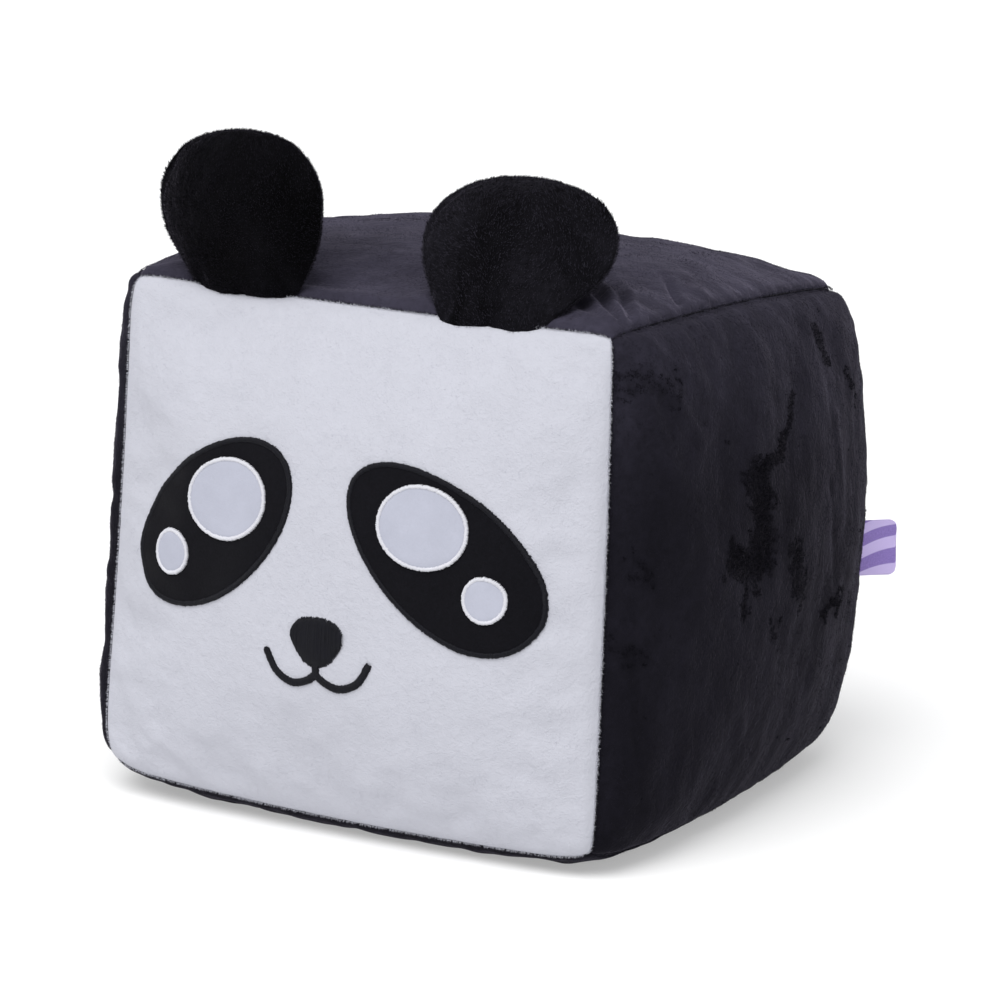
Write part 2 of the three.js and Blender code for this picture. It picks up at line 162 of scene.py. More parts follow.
def disc_grid(steps):
    """A square grid bent into a disc: x and z, distance from its middle, and angle."""
    s, t = square_grid(steps)
    x, z = s * np.sqrt(1 - t**2 / 2), t * np.sqrt(1 - s**2 / 2)
    return x, z, np.hypot(x, z), np.arctan2(z, x)


# ---- meshes and modifiers ----

def new_object(name, points, faces, materials=(), smooth=True):
    mesh = bpy.data.meshes.new(name)
    faces = np.asarray(faces)
    mesh.vertices.add(len(points))
    mesh.vertices.foreach_set("co", np.asarray(points, np.float32).ravel())
    mesh.loops.add(faces.size)
    mesh.loops.foreach_set("vertex_index", faces.astype(np.int32).ravel())
    mesh.polygons.add(len(faces))
    mesh.polygons.foreach_set("loop_start", np.arange(0, faces.size, faces.shape[1], dtype=np.int32))
    mesh.polygons.foreach_set("use_smooth", np.full(len(faces), smooth))
    mesh.update(calc_edges=True)
    mesh.validate()
    for material in materials:
        mesh.materials.append(material)
    piece = bpy.data.objects.new(name, mesh)
    bpy.context.scene.collection.objects.link(piece)
    return piece


def vectors(items, field):
    found = np.empty(len(items) * 3, np.float32)
    items.foreach_get(field, found)
    return found.reshape(-1, 3).astype(float)


def coordinates(mesh):
    return vectors(mesh.vertices, "co")


def normals(mesh):
    return vectors(mesh.vertex_normals, "vector")


def set_coordinates(mesh, points):
    mesh.vertices.foreach_set("co", points.astype(np.float32).ravel())
    mesh.update()


def apply_modifiers(piece):
    """Replaces the piece's mesh by what its modifiers make of it."""
    graph = bpy.context.evaluated_depsgraph_get()
    made = bpy.data.meshes.new_from_object(piece.evaluated_get(graph))
    piece.modifiers.clear()
    piece.data = made
    return piece


def subdivide(piece, levels):
    modifier = piece.modifiers.new("Subdivision", "SUBSURF")
    modifier.levels = modifier.render_levels = levels
    modifier.boundary_smooth = "PRESERVE_CORNERS"
    return apply_modifiers(piece)


def thicken(piece, thickness):
    modifier = piece.modifiers.new("Solidify", "SOLIDIFY")
    modifier.thickness, modifier.offset = thickness, -1
    return apply_modifiers(piece)


def finish(piece, node=None):
    """Puts a piece on the body, and hides the CAD node it stands for, if any."""
    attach(piece, "body")
    if node:
        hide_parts(node)


def inflate(name, points, faces, pinned, pressure, frames, cap, slack=0.0, stiffness=8.0):
    """Blows a closed cloth skin up from inside by cloth simulation, its pinned points held, and
    returns its points, none of which has moved more than cap."""
    piece = new_object(name, points, faces)
    group = piece.vertex_groups.new(name="pinned")
    group.add([int(i) for i in np.flatnonzero(pinned)], 1.0, "REPLACE")
    cloth = piece.modifiers.new("Cloth", "CLOTH")
    settings = cloth.settings
    settings.quality = 6
    settings.mass = 0.02
    settings.tension_stiffness = settings.compression_stiffness = stiffness
    settings.shear_stiffness = stiffness / 3
    settings.bending_stiffness = 0.4
    settings.tension_damping = settings.compression_damping = 10
    settings.shear_damping = 10
    settings.bending_damping = 1
    settings.air_damping = 4
    settings.use_pressure = True
    settings.uniform_pressure_force = pressure
    settings.vertex_group_mass = "pinned"
    settings.pin_stiffness = 50
    settings.shrink_min = -slack
    settings.effector_weights.gravity = 0
    cloth.point_cache.frame_start, cloth.point_cache.frame_end = 1, frames
    scene = bpy.context.scene
    for number in range(1, frames + 1):
        scene.frame_set(number)
    graph = bpy.context.evaluated_depsgraph_get()
    blown = coordinates(piece.evaluated_get(graph).to_mesh())
    bpy.data.objects.remove(piece)
    scene.frame_set(1)
    step = blown - points
    length = np.linalg.norm(step, axis=1, keepdims=True)
    return points + step * np.minimum(1, cap / np.maximum(length, 1e-9))


def waves(points, wavelength, seed, count=14):
    """A smooth random field over points, about -1 to 1, made of sine waves of about one wavelength."""
    draw = np.random.default_rng(seed)
    heading = draw.normal(size=(count, 3))
    heading /= np.linalg.norm(heading, axis=1, keepdims=True)
    lengths = wavelength * draw.uniform(0.7, 1.5, count)
    phase = draw.uniform(0, 2 * math.pi, count)
    field = np.sin(points @ (heading / lengths[:, None]).T * 2 * math.pi + phase)
    return field.sum(1) / math.sqrt(count / 2) / 1.6


def unit_vectors(vectors):
    return vectors / np.maximum(np.linalg.norm(vectors, axis=-1, keepdims=True), 1e-12)


def smooth_step(low, high, value):
    t = np.clip((value - low) / (high - low), 0, 1)
    return t * t * (3 - 2 * t)


def run_along(line):
    """Each point's distance from the first one, along the line."""
    return np.concatenate([[0], np.cumsum(np.linalg.norm(np.diff(line, axis=0), axis=1))])


def points_at(place, run, line):
    """The line's points at these distances along it."""
    return np.stack([np.interp(place, run, line[:, i]) for i in range(line.shape[1])], -1)


# ---- looks ----

class Look:
    """A Principled material and short names for its nodes. Textures run in metres over the object."""

    def __init__(self, name, **sockets):
        self.material = bpy.data.materials.new(name)
        self.material.use_nodes = True
        self.tree = self.material.node_tree
        self.shader = self.tree.nodes["Principled BSDF"]
        for socket, value in sockets.items():
            self.shader.inputs[socket.replace("_", " ")].default_value = value
        self.place = None

    def node(self, kind, **values):
        made = self.tree.nodes.new(kind)
        for key, value in values.items():
            setattr(made, key, value)
        return made

    def link(self, source, target):
        self.tree.links.new(source, target)

    def where(self, stretch=(1, 1, 1), turn=(0, 0, 0)):
        if self.place is None:
            self.place = self.node("ShaderNodeTexCoord").outputs["Object"]
        mapping = self.node("ShaderNodeMapping")
        mapping.inputs["Scale"].default_value = stretch
        mapping.inputs["Rotation"].default_value = [math.radians(a) for a in turn]
        self.link(self.place, mapping.inputs["Vector"])
        return mapping.outputs["Vector"]

    def noise(self, size, detail=2.0, roughness=0.5, distortion=0.0, stretch=(1, 1, 1), turn=(0, 0, 0)):
        """Noise whose lumps are about size metres across."""
        made = self.node("ShaderNodeTexNoise")
        made.inputs["Scale"].default_value = 1 / size
        made.inputs["Detail"].default_value = detail
        made.inputs["Roughness"].default_value = roughness
        made.inputs["Distortion"].default_value = distortion
        self.link(self.where(stretch, turn), made.inputs["Vector"])
        return made.outputs["Fac"]

    def ramp(self, value, *stops):
        made = self.node("ShaderNodeValToRGB")
        ramp = made.color_ramp
        while len(ramp.elements) < len(stops):
            ramp.elements.new(0.5)
        for element, (place, colour) in zip(ramp.elements, stops):
            element.position = place
            element.color = (*colour, 1) if hasattr(colour, "__len__") else (colour, colour, colour, 1)
        self.link(value, made.inputs["Fac"])
        return made.outputs["Color"]

    def blend(self, mode, amount, first, second):
        made = self.node("ShaderNodeMix", data_type="RGBA", blend_type=mode)
        made.inputs["Factor"].default_value = amount
        self.link(first, made.inputs[6])
        self.link(second, made.inputs[7])
        return made.outputs[2]

    def add(self, first, second, share=1.0):
        """first + share * second"""
        made = self.node("ShaderNodeMath", operation="MULTIPLY_ADD")
        self.link(second, made.inputs[0])
        made.inputs[1].default_value = share
        self.link(first, made.inputs[2])
        return made.outputs[0]

    def bump(self, height, distance, strength=1.0):
        made = self.node("ShaderNodeBump")
        made.inputs["Distance"].default_value = distance
        made.inputs["Strength"].default_value = strength
        self.link(height, made.inputs["Height"])
        self.link(made.outputs["Normal"], self.shader.inputs["Normal"])

    def colour(self, source):
        self.link(source, self.shader.inputs["Base Color"])

    def roughness(self, source):
        self.link(source, self.shader.inputs["Roughness"])


def scaled(colour, share):
    return tuple(c * share for c in colour)


def plush(name, colour, sheen, sheen_tint, nap, mottle, nap_and_shade_darkening=0.0, painted_top_light=1.0):
    """Short plush pile: brushed patches, darkened marks of brushed nap and of painted shade, clumps of
    pile and single tufts. A painted top light above 1 makes the colour lighter by the top seam: painted
    light."""
    look = Look(name, Roughness=0.9, Specular_IOR_Level=0.04, Sheen_Weight=sheen,
                Sheen_Roughness=0.3, Sheen_Tint=(*sheen_tint, 1))
    brushed = look.noise(0.055, 3, 0.55, 1.2, (1, 1, 0.55), (12, 8, 20))
    patches = look.ramp(brushed, (0.34, scaled(colour, 1 - nap)), (0.52, colour),
                        (0.68, scaled(colour, 1 + nap)))
    clumps = look.noise(0.0042, 3, 0.6, 0.6)
    mottled = look.blend("MULTIPLY", 1, patches, look.ramp(clumps, (0.3, 1 - mottle), (0.7, 1)))
    # Darkens the listed marks: nap brushed the other way, and painted shade on the top panel.
    if nap_and_shade_darkening:
        marks = look.node("ShaderNodeAttribute", attribute_name="brushed").outputs["Fac"]
        ragged = look.add(marks, look.noise(0.008, 4, 0.65, 1.0, (1, 1, 0.5)), 1.0)
        dark = look.ramp(look.add(ragged, ragged, -0.4), (0.4, 1), (0.9, 1 - nap_and_shade_darkening))
        mottled = look.blend("MULTIPLY", 1, mottled, dark)
    # Painted light: the colour is painted darker lower down and lighter towards the top seam, as if lit from
    # above.
    if painted_top_light > 1:
        height = look.node("ShaderNodeSeparateXYZ")
        look.link(look.where(), height.inputs[0])
        wavy = look.add(height.outputs["Z"], look.noise(0.05, 2), 0.05)
        low = 1 / painted_top_light
        mottled = look.blend("MULTIPLY", 1, mottled, look.ramp(wavy, (0.19, low), (0.285, 1)))
    look.colour(mottled)
    tufts = look.noise(0.0009, 2, 0.6)
    look.roughness(look.ramp(look.add(clumps, tufts, 0.3), (0.35, 0.82), (0.95, 0.98)))
    look.bump(look.add(clumps, tufts, 0.5), 0.0009, 0.7)
    return look.material


def fibre(name, colour, sheen, sheen_tint):
    """One constant tone of the pile's own fibres."""
    return Look(name, Base_Color=(*colour, 1), Roughness=0.9, Specular_IOR_Level=0.04, Sheen_Weight=sheen,
                Sheen_Roughness=0.35, Sheen_Tint=(*sheen_tint, 1)).material


def felt(name, colour, spread):
    look = Look(name, Roughness=0.92, Specular_IOR_Level=0.05, Sheen_Weight=0.04, Sheen_Roughness=0.5)
    matted = look.noise(0.0016, 4, 0.7, 1.5)
    broad = look.noise(0.018, 2)
    tone = look.ramp(matted, (0.3, scaled(colour, 1 - spread)), (0.7, scaled(colour, 1 + spread)))
    look.colour(look.blend("MULTIPLY", 1, tone, look.ramp(broad, (0.3, 0.94), (0.7, 1.04))))
    look.bump(matted, 0.0003, 0.6)
    return look.material


def thread(name, colour, spread):
    look = Look(name, Roughness=0.5, Specular_IOR_Level=0.16, Sheen_Weight=0.03, Sheen_Roughness=0.3)
    plies = look.noise(0.0005, 2, 0.5, 0.4)
    broad = look.noise(0.006, 2)
    twist = look.add(plies, broad, 0.5)
    look.colour(look.ramp(twist, (0.45, scaled(colour, 1 - spread)), (1.0, scaled(colour, 1 + spread))))
    look.roughness(look.ramp(broad, (0.3, 0.42), (0.7, 0.6)))
    look.bump(plies, 0.00012, 0.5)
    return look.material


PILE_TINT = (0.66, 0.60, 0.80)
BLACK = (0.0092, 0.0085, 0.0127)
EAR_BLACK = (0.0050, 0.0047, 0.0064)
WHITE = (0.475, 0.479, 0.530)
SIDE_TOP_PAINTED_LIGHT = 3.1  # how much lighter the side panels are painted by the top seam: painted light from above
TOP_PANEL_PAINTED_LIGHT = 4.2  # and the top panel than the side panels, all over: painted light from above
# The side panels' black is painted lighter by the top seam: painted light from above.
BLACK_PLUSH = plush("black_plush", scaled(BLACK, SIDE_TOP_PAINTED_LIGHT), 0.12, PILE_TINT, 0.22, 0.3, 0.6, SIDE_TOP_PAINTED_LIGHT)
# The top panel's black is painted lighter all over: painted light from above.
TOP_PLUSH = plush("black_plush_top", scaled(BLACK, TOP_PANEL_PAINTED_LIGHT), 0.3, PILE_TINT, 0.2, 0.25, 0.3)
# The right ear's copy is painted lighter and the left ear's darker: painted light and shade for how each ear
# faces the light.
EAR_PLUSHES = {side: plush(f"{side}_ear_black_plush", scaled(EAR_BLACK, share), 0.18, PILE_TINT, 0.7, 0.6)
               for side, share in (("left", 0.5), ("right", 1.3))}
WHITE_PLUSH = plush("white_plush", WHITE, 0.06, (1, 1, 1), 0.012, 0.035)
BLACK_FELT = felt("black_felt", (0.0048, 0.0046, 0.0064), 0.3)
WHITE_FELT = felt("white_felt", (0.395, 0.405, 0.475), 0.03)
BLACK_THREAD = thread("black_thread", (0.0045, 0.0045, 0.0075), 0.5)
WHITE_THREAD = thread("white_thread", (0.60, 0.60, 0.64), 0.06)


def fibres(name, colour, sheen, tint, shares):
    return [fibre(f"{name}_{i}", scaled(colour, share), sheen, tint) for i, share in enumerate(shares)]


BLACK_FIBRES = fibres("black_pile", BLACK, 0.1, PILE_TINT, (0.7, 1.1, 1.6))
BRUSHED_FIBRES = fibres("black_brushed_pile", BLACK, 0.02, PILE_TINT, (0.3, 0.6, 1.0))
# The top pile's fibres are painted lighter the same way: painted light from above.
TOP_FIBRES = fibres("black_top_pile", scaled(BLACK, TOP_PANEL_PAINTED_LIGHT), 0.25, PILE_TINT, (0.75, 1.0, 1.25))
# Like the ears' plush, the right ear's fibres are painted lighter and the left ear's darker: painted light
# and shade.
EAR_FIBRES = {side: fibres(f"{side}_ear_pile", scaled(EAR_BLACK, share), 0.1, PILE_TINT, (0.4, 1.2, 4.0))
              for side, share in (("left", 0.6), ("right", 1.5))}
WHITE_FIBRES = fibres("white_pile", WHITE, 0.05, (1, 1, 1), (0.97, 1.0, 1.03))


def fibrefill():
    look = Look("fibrefill", Roughness=1.0, Sheen_Weight=0.3)
    tangle = look.noise(0.006, 5, 0.7, 2)
    look.colour(look.ramp(tangle, (0.3, 0.75), (0.7, 0.9)))
    look.bump(tangle, 0.002)
    return look.material


FIBREFILL = fibrefill()

# ---- pile ----

def sample_surface(mesh, count, draw):
    """Random points over a mesh's faces with their normals, evenly by area."""
    mesh.calc_loop_triangles()
    corners = np.empty(len(mesh.loop_triangles) * 3, np.int32)
    mesh.loop_triangles.foreach_get("vertices", corners)
    corners = corners.reshape(-1, 3)
    points, normal = coordinates(mesh), normals(mesh)
    a, b, c = (points[corners[:, i]] for i in range(3))
    area = np.linalg.norm(np.cross(b - a, c - a), axis=1) / 2
    chosen = draw.choice(len(corners), count, p=area / area.sum())
    u, v = draw.random(count), draw.random(count)
    over = u + v > 1
    u[over], v[over] = 1 - u[over], 1 - v[over]
    share = np.stack([1 - u - v, u, v], 1)[:, :, None]
    triangle = corners[chosen]
    return (points[triangle] * share).sum(1), unit_vectors((normal[triangle] * share).sum(1))


def spikes(name, roots, ways, lengths, widths, materials, draw):
    """Fibres as closed slivers, each from its root along its way, in one mesh."""
    count = len(roots)
    ways = unit_vectors(ways)
    across = unit_vectors(np.cross(ways, draw.normal(size=(count, 3))))
    over = np.cross(ways, across)
    points = np.empty((count, 4, 3))
    for k in range(3):
        angle = 2 * math.pi * k / 3
        ring = across * math.cos(angle) + over * math.sin(angle)
        points[:, k] = roots + ring * widths[:, None] / 2
    points[:, 3] = roots + ways * lengths[:, None]
    corner = np.array([(0, 2, 1), (0, 1, 3), (1, 2, 3), (2, 0, 3)])
    faces = (np.arange(count)[:, None, None] * 4 + corner).reshape(-1, 3)
    piece = new_object(name, points.reshape(-1, 3), faces, materials, smooth=False)
    tone = np.repeat(draw.integers(0, len(materials), count), 4).astype(np.int32)
    piece.data.polygons.foreach_set("material_index", tone)
    return piece


def pile(name, mesh, per_mm2, length, width, lean, nap, materials, seed, sink=0.2 * MM):
    """Short fibres all over a mesh, leaning along the nap."""
    draw = np.random.default_rng(seed)
    area = sum(p.area for p in mesh.polygons)
    count = int(per_mm2 * area / MM**2)
    roots, normal = sample_surface(mesh, count, draw)
    turn = waves(roots, 0.05, seed + 1)
    way = np.array(nap, float) + 0.9 * turn[:, None] * np.roll(np.array(nap, float), 1)
    way = way - normal * (way * normal).sum(1)[:, None]
    way = unit_vectors(way) * lean + normal + draw.normal(scale=0.35, size=(count, 3))
    lengths = length * draw.uniform(0.6, 1.25, count) * (1 + 0.25 * waves(roots, 0.02, seed + 2))
    widths = width * draw.uniform(0.7, 1.3, count)
    return spikes(name, roots - normal * sink, way, lengths, widths, materials, draw)


# ---- the body ----

def weld():
    """The cube's closed skin: welded points, quads, and where each side's grid is among the points."""
    made = [skin_points(side, *panel_grid()) for side in SIDES]
    units = np.concatenate([unit for unit, _ in made])
    points = np.concatenate([place for _, place in made])
    _, kept, joined = np.unique(np.round(units, 6), axis=0, return_index=True, return_inverse=True)
    return units[kept], points[kept], dict(zip(SIDES, joined.ravel().reshape(len(SIDES), -1)))


def grid_quads(rows, columns):
    corner = np.arange((rows - 1) * columns).reshape(rows - 1, columns)[:, :-1].ravel()
    return np.stack([corner, corner + columns, corner + columns + 1, corner + 1], 1)


units, target, joined = weld()
side_quads = grid_quads(GRID + 1, GRID + 1)
quads = np.concatenate([picks[side_quads] for picks in joined.values()])
on_seam = (np.abs(np.abs(units) - 1) < 1e-6).sum(1) >= 2


def neighbour_mean(values, faces, rounds):
    """values averaged with their neighbours over a mesh of quads, again and again."""
    pairs = np.concatenate([faces[:, [i, (i + 1) % 4]] for i in range(4)])
    pairs = np.concatenate([pairs, pairs[:, ::-1]])
    degree = np.bincount(pairs[:, 0], minlength=len(values))[:, None]
    for _ in range(rounds):
        total = np.zeros_like(values)
        for axis in range(3):
            total[:, axis] = np.bincount(pairs[:, 0], values[pairs[:, 1], axis], len(values))
        values = 0.5 * values + 0.5 * total / degree
    return values


# The skin starts a little flat and is blown up against its own seams. It keeps the folds that the
# cloth makes there, and its broad form is the stuffed toy's.
START = 0.9
swell = target - (units * HALF + [0, 0, MIDDLE_Z] + seam_shift(units))
skin = target.copy()
flat = target - (1 - START) * swell
blown = inflate("skin", flat, quads, on_seam, pressure=5, frames=20, cap=9 * MM, slack=0.03)
drift = blown - target
folds = drift - neighbour_mean(drift, quads, 40)
to_seam = (np.sort(1 - np.abs(units), axis=1)[:, 1] * HALF_X / MM)[:, None]
calm = 1 - 0.7 * (units[:, :1] > 0.999) - 0.4 * (units[:, 2:] > 0.999)
skin = target + folds * calm * smooth_step(2, 18, to_seam)
skin[:, 2] = np.maximum(skin[:, 2], 0)


def seam_distances(s, t):
    """Millimetres to the left, right, lower and upper seam of a panel, roughly."""
    half = HALF_X / MM
    return np.stack([(1 + s) * half, (1 - s) * half, (1 + t) * half, (1 - t) * half])


# Where the cloth is gathered most, as a share for each seam: left, right, lower, upper.
GATHER = {
    "face": (0.35, 0.25, 0.4, 0.55), "back": (0.5, 0.5, 0.5, 0.6), "left": (0.5, 0.5, 0.4, 0.6),
    "right": (0.3, 0.35, 0.4, 0.4), "top": (0.6, 0.6, 0.5, 0.4), "bottom": (0.4, 0.4, 0.4, 0.4),
}
# Single folds, across and up from a panel's middle: where each starts and ends, its width and its
# height, in millimetres. A height below 0 is a crease.
FOLDS = {
    "top": (
        (117, -113, 60, -66, 3.5, 3.2), (120, -108, 46, -22, 3.5, 3.4), (121, -98, 74, -34, 3.5, 2.6),
        (118, -110, 56, -46, 2.6, -2.6), (121, -102, 66, -30, 2.6, -2.6), (112, -117, 64, -92, 3, 2.0),
        (122, -57, 98, -28, 1.8, -4.0), (120, -30, 96, -8, 4, 1.0), (-60, -60, -90, -20, 6, -1.0),
    ),
    "right": (
        (-112, 106, -78, 66, 4, 1.6), (-116, 96, -96, 52, 4, 1.5), (-104, 110, -56, 80, 4, 1.2),
        (40, 30, 52, -20, 3, -1.0), (52, 60, 58, 10, 4, 0.9), (-40, -60, -20, -96, 5, 0.9),
        (112, 100, 84, 70, 4, 1.2),
    ),
    "left": ((-100, 100, -60, 60, 5, 1.2), (100, 104, 70, 80, 4, 1.2), (90, -90, 50, -50, 5, 1.0)),
    "back": ((-104, 100, -70, 70, 4, 1.2), (106, 98, 80, 66, 4, 1.2), (0, 100, 8, 50, 5, -0.9)),
    "face": ((100, 104, 60, 88, 7, 0.8), (108, -100, 80, -72, 7, 0.8), (-96, 100, -60, 84, 8, -0.6)),
}
# Marks where the plush is darker: where the nap was brushed the other way, and painted shade by the left ear
# on the top. Start and end across and up, half width, strength.
NAP_AND_SHADE_MARKS = {
    "right": (
        (7, 77, -12, 52, 2.5, 1), (-12, 52, -38, 46, 4, 1), (-38, 46, -31, 30, 7, 1),
        (-31, 34, -32, 5, 9, 1), (-30, 5, -58, 10, 6, 1), (51, 100, 55, 88, 4, 0.7),
        (0, 4, 8, -17, 6, 0.75), (40, -34, 57, -29, 5, 0.7), (-44, -1, -46, -17, 3, 0.7),
        (-121, 98, -96, 92, 6, 0.4), (-116, 17, -111, 12, 5, 0.4), (-23, -24, -15, -30, 3, 0.55),
        (-123, -18, -113, -28, 5, 0.35), (78, 78, 84, 64, 3, 0.5),
    ),
    # The first top mark darkens the top panel beside the left ear: painted shade.
    "top": ((-100, -60, -50, -60, 30, 1), (-40, 90, 30, 70, 20, 0.3)),
}
# How deep and wide, in millimetres, a seam pulls the cloth in, and the share of it round the face.
VALLEY_DEPTH, VALLEY_WIDTH = 1.7, 1.7
FACE_VALLEY = 0.15
# Hollows in the top panel by the ears: x, y from the front seam, radius and depth, in millimetres.
HOLLOWS = ((-25, 22, 24, 3.0), (6, 30, 20, 2.2), (48, 60, 30, 1.5), (-70, 16, 22, 1.8), (72, 20, 20, 1.5))


def panel_place(mesh):
    """s and t of a panel's points."""
    return vectors(mesh.attributes["place"].data, "vector").T[:2]


def line_gap(x, y, x0, y0, x1, y1):
    """How far along a line from x0, y0 to x1, y1 each point is, from 0 to 1, and how far off it."""
    away, line = np.stack([x - x0, y - y0], 1), np.array([x1 - x0, y1 - y0], float)
    share = np.clip(away @ line / (line @ line), 0, 1)
    return share, np.linalg.norm(away - share[:, None] * line, axis=1)


def pucker(side, mesh):
    """Gathers along the seams, single folds, soft undulation, the hollows in the top, and the
    valley that each seam lies in."""
    s, t = panel_place(mesh)
    across, up, outward = SIDES[side]
    points, normal = coordinates(mesh), normals(mesh)
    distances = seam_distances(s, t)
    near = distances.min(0)
    height = np.zeros(len(s))
    for i, share in enumerate(GATHER[side]):
        along = (t if i < 2 else s) * HALF_X / MM
        sloped = np.stack([along, 0.35 * distances[i], np.zeros(len(s))], 1)
        folds = waves(sloped, 13, 40 + 4 * list(SIDES).index(side) + i)
        reach = 9 + 7 * waves(np.stack([along, along * 0, along * 0], 1), 60, 90 + i)
        fade = np.exp(-distances[i] / np.maximum(reach, 4))
        height += share * folds * fade * smooth_step(0, 5, distances[i])
    half_across, half_up = np.abs(HALF @ across) / MM, np.abs(HALF @ up) / MM
    for *ends, width, rise in FOLDS.get(side, ()):
        share, gap = line_gap(s * half_across, t * half_up, *ends)
        height += rise * (1 - 0.7 * share) * np.exp(-((gap / width) ** 2)) * smooth_step(1, 8, near)
    height += 0.9 * waves(points / MM, 55, 7) * smooth_step(2, 25, near)
    height += 0.25 * waves(points / MM, 16, 8) * smooth_step(2, 15, near) * (0.4 if side == "face" else 1)
    if side == "top":
        for x, y, radius, depth in HOLLOWS:
            away = np.hypot(points[:, 0] / MM - x, (points[:, 1] + HALF_Y) / MM - y)
            height -= depth * np.exp(-((away / radius) ** 2)) * smooth_step(1, 10, near)
    height *= smooth_step(0, 3, near)  # so that neighbouring panels keep meeting at their seam
    moved = points + normal * (height * MM)[:, None]
    unit = s[:, None] * across + t[:, None] * up + outward
    seamward = unit_vectors(np.sign(unit) * np.abs(unit) ** 12)
    valley = VALLEY_DEPTH * np.exp(-((near / VALLEY_WIDTH) ** 2)) * (1 + 0.3 * waves(points / MM, 9, 12))
    valley *= 1 - (1 - FACE_VALLEY) * smooth_step(0.97, 1, -unit[:, 1])
    valley *= smooth_step(1, 12, np.sort(distances, 0)[1])
    moved -= seamward * (valley * MM)[:, None]
    moved[:, 2] = np.maximum(moved[:, 2], 0)
    set_coordinates(mesh, moved)


def mark_nap_and_shade(side, mesh):
    """Marks the stretches of nap that were brushed the other way, and the painted shade by the left ear on
    the top panel, for the plush's colour.
    """
    s, t = panel_place(mesh)
    x, y = s * HALF_Y / MM, t * HALF_Z / MM
    x = x + 2.5 * waves(np.stack([x, y, 0 * x], 1), 12, 71)
    y = y + 2.5 * waves(np.stack([x, y, 0 * x], 1), 12, 72)
    marks = np.zeros(len(s))
    for *ends, width, strength in NAP_AND_SHADE_MARKS.get(side, ()):
        _, gap = line_gap(x, y, *ends)
        marks = np.maximum(marks, strength * (1 - smooth_step(0.3 * width, 1.9 * width, gap)))
    layer = mesh.attributes.new("brushed", "FLOAT", "POINT")
    layer.data.foreach_set("value", marks.astype(np.float32))


def body_panel(side, material):
    s, t = panel_grid()
    panel = new_object(f"{side}_plush", skin[joined[side]], side_quads, [material])
    place = panel.data.attributes.new("place", "FLOAT_VECTOR", "POINT")
    place.data.foreach_set("vector", np.stack([s, t, 0 * s], 1).astype(np.float32).ravel())
    subdivide(panel, 2)
    pucker(side, panel.data)
    mark_nap_and_shade(side, panel.data)
    return panel


PANEL_LOOKS = {"face": WHITE_PLUSH, "top": TOP_PLUSH}
panels = {side: body_panel(side, PANEL_LOOKS.get(side, BLACK_PLUSH)) for side in SIDES}
surfaces = {side: panel.data.copy() for side, panel in panels.items()}
face_tree = BVHTree.FromPolygons(
    [v.co.copy() for v in surfaces["face"].vertices],
    [tuple(p.vertices) for p in surfaces["face"].polygons],
)
for side, panel in panels.items():
    thicken(panel, CLOTH)
    finish(panel, f"{side}_panel")

# The stuffing fills the cloth.
inside = new_object("stuffing", skin, quads, [FIBREFILL])
set_coordinates(inside.data, skin - normals(inside.data) * 4 * CLOTH)
finish(inside, "stuffing_core")


# ---- threads ----

def threads(name, paths, ups, radius, material, taper=0.55):
    """Sewing threads along paths, an array of threads x points x 3, each a closed tube."""
    count, length, _ = paths.shape
    along = np.gradient(paths, axis=1)
    side = unit_vectors(np.cross(along, ups))
    up = unit_vectors(np.cross(side, along))
    thickness = np.full(length, float(radius))
    thickness[0] = thickness[-1] = radius * taper
    angle = np.arange(6) * math.pi / 3
    ring = (side[:, :, None] * np.cos(angle)[:, None] + up[:, :, None] * np.sin(angle)[:, None])
    points = paths[:, :, None] + ring * thickness[:, None, None]
    body = np.array([(i * 6 + k, i * 6 + (k + 1) % 6, (i + 1) * 6 + (k + 1) % 6, (i + 1) * 6 + k)
                     for i in range(length - 1) for k in range(6)])
    end = (length - 1) * 6
    caps = np.array([(3, 2, 1, 0), (5, 4, 3, 0),
                     (end, end + 1, end + 2, end + 3), (end, end + 3, end + 4, end + 5)])
    one = np.concatenate([body, caps])
    faces = (np.arange(count)[:, None, None] * length * 6 + one).reshape(-1, 4)
    return new_object(name, points.reshape(-1, 3), faces, [material])


def on_face(x, z, lift):
    """Points over the face panel at x, z from the face's middle, lifted off its cloth (all in mm),
    and the cloth's normals there."""
    x, z, lift = np.broadcast_arrays(x, z, lift)
    points, ups = np.empty((x.size, 3)), np.empty((x.size, 3))
    for i, (px, pz) in enumerate(zip(x.ravel(), z.ravel())):
        hit, up, _, _ = face_tree.ray_cast(Vector((px * MM, -1, pz * MM + MIDDLE_Z)), Vector((0, 1, 0)))
        points[i], ups[i] = hit, up
    points += ups * lift.ravel()[:, None] * MM
    return points.reshape(*x.shape, 3), ups.reshape(*x.shape, 3)


# ---- the face's pieces ----

STITCH_WIDTH, STITCH_HEIGHT, STITCH_PITCH = 2.6, 1.2, 0.46
THREAD_RADIUS = 0.3 * MM
FELT = 1.0
# Each oval's half lengths and tilt. egg widens the lower end. The left patch was cut a little smaller.
HIGHLIGHTS = {
    "large_highlight": dict(long=22.3, short=18.7, tilt=-8, egg=0.0, band=1.8),
    "small_highlight": dict(long=10.7, short=10.2, tilt=-70, egg=0.0, band=1.8),
}
EYE_SHAPES = {
    "left": {"patch": dict(long=51.7, short=31.8, tilt=-40, egg=0.0, band=STITCH_WIDTH), **HIGHLIGHTS},
    "right": {"patch": dict(long=54.8, short=31, tilt=-35.5, egg=0.13, band=STITCH_WIDTH), **HIGHLIGHTS},
}


def middle_of(node):
    """The middle of a CAD node across the face, in millimetres from the face's middle."""
    low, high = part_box(node)
    return (low.x + high.x) / 2 / MM, ((low.z + high.z) / 2 - MIDDLE_Z) / MM


